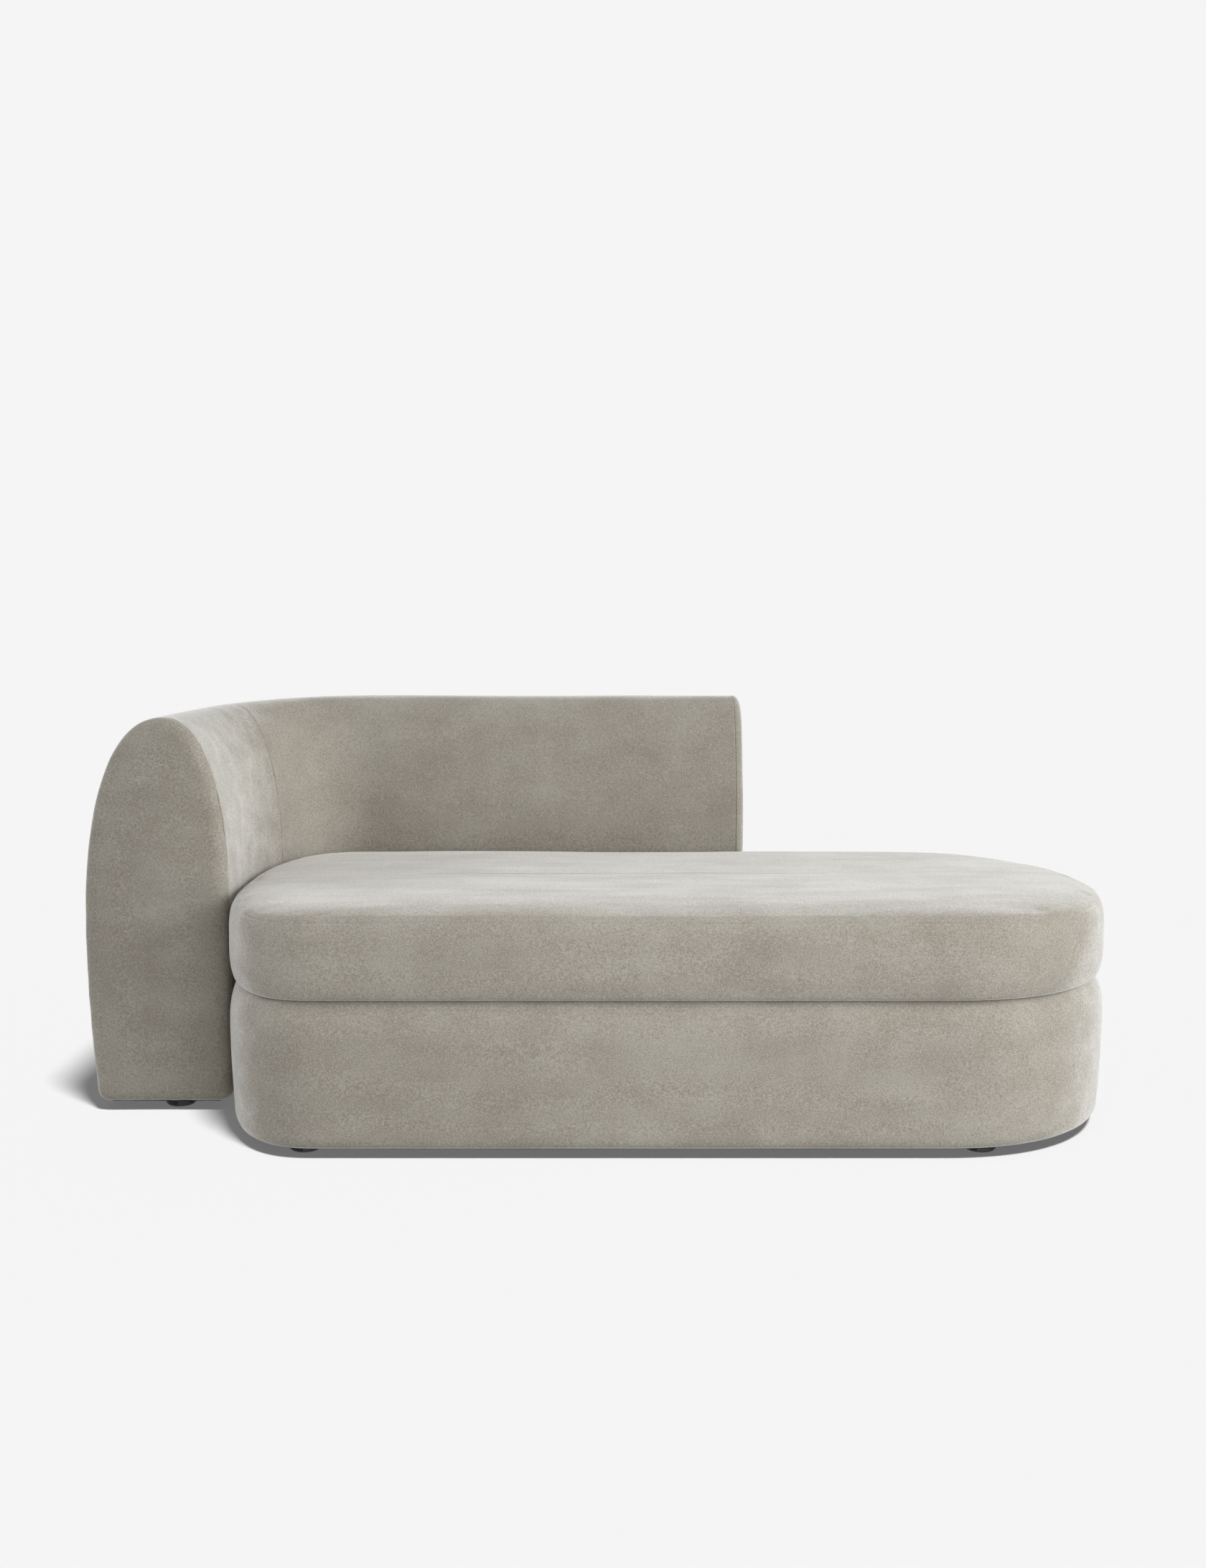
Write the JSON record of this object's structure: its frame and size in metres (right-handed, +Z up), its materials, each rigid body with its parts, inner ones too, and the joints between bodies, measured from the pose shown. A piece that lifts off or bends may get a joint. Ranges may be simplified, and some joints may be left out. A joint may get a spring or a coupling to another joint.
{
  "type": "daybed",
  "caption": "Upholstered daybed: bench cushion on a padded base with rounded ends, and a thick back that wraps one end as an arm.",
  "frame": {"origin": "on the floor, under the middle of the daybed's bounding box", "axes": "+Z up; +X along the seat, from the arm to the open end; -Y towards the front, where a sitter's feet go"},
  "size_m": [1.977, 1.139, 0.78],
  "materials": {
    "velvet": "matte",
    "lining": "matte",
    "foam": "matte",
    "fibre": "matte",
    "plywood": "matte",
    "hardboard": "matte",
    "webbing": "matte",
    "glide_plastic": "satin",
    "steel": "satin",
    "zip_nylon": "matte"
  },
  "bodies": {
    "base_and_back": {"base_cover": "velvet", "arm_cover": "velvet", "back_cover": "velvet", "arm_front_panel": "velvet", "back_end_panel": "velvet", "deck_cloth": "lining", "base_dust_cover": "lining", "back_dust_cover": "lining", "base_front_foam": "foam", "base_rear_foam": "foam", "base_left_foam": "foam", "base_right_foam": "foam", "deck_pad": "foam", "arm_foam": "foam", "back_foam": "foam", "arm_front_pad": "foam", "back_end_pad": "foam", "base_front_rail": "plywood", "base_rear_rail": "plywood", "base_left_bow": "plywood", "base_right_bow": "plywood", "base_stretcher_1": "plywood", "base_stretcher_2": "plywood", "base_block_front_left": "plywood", "base_block_front_right": "plywood", "base_block_rear_left": "plywood", "base_block_rear_right": "plywood", "back_floor_plate": "plywood", "back_top_rail": "plywood", "back_rib_1": "plywood", "back_rib_2": "plywood", "back_rib_3": "plywood", "back_rib_4": "plywood", "back_rib_5": "plywood", "back_rib_6": "plywood", "back_outer_panel": "hardboard", "back_inner_panel": "hardboard", "seat_webbing_1": "webbing", "seat_webbing_2": "webbing", "seat_webbing_3": "webbing", "seat_webbing_4": "webbing", "seat_webbing_5": "webbing", "seat_webbing_6": "webbing", "seat_webbing_7": "webbing", "base_glide_front_left": "glide_plastic", "base_glide_front_right": "glide_plastic", "base_glide_rear_left": "glide_plastic", "base_glide_rear_right": "glide_plastic", "back_glide_arm": "glide_plastic", "back_glide_corner": "glide_plastic", "back_glide_middle": "glide_plastic", "back_glide_end": "glide_plastic", "joining_plate_1": "steel", "joining_plate_2": "steel"},
    "bench_cushion": {"cushion_cover": "velvet", "cushion_wrap": "fibre", "cushion_core": "foam", "zip_tape": "zip_nylon"},
    "zip_slider": {"zip_slider": "steel"},
    "zip_pull": {"zip_pull": "steel"}
  },
  "joints": [
    {"name": "cushion_lift", "type": "slide", "parent": "base_and_back", "child": "bench_cushion", "axis": [0, 0, 1], "range_m": [0, 0.51]},
    {"name": "zip_slide", "type": "slide", "parent": "bench_cushion", "child": "zip_slider", "axis": [-1, 0, 0], "range_m": [0, 1.03]},
    {"name": "zip_pull_swing", "type": "hinge", "parent": "zip_slider", "child": "zip_pull", "pos_m": [0.5795, 0.2875, 0.3], "axis": [0, 0, 1], "range_deg": [0, 175]}
  ]
}
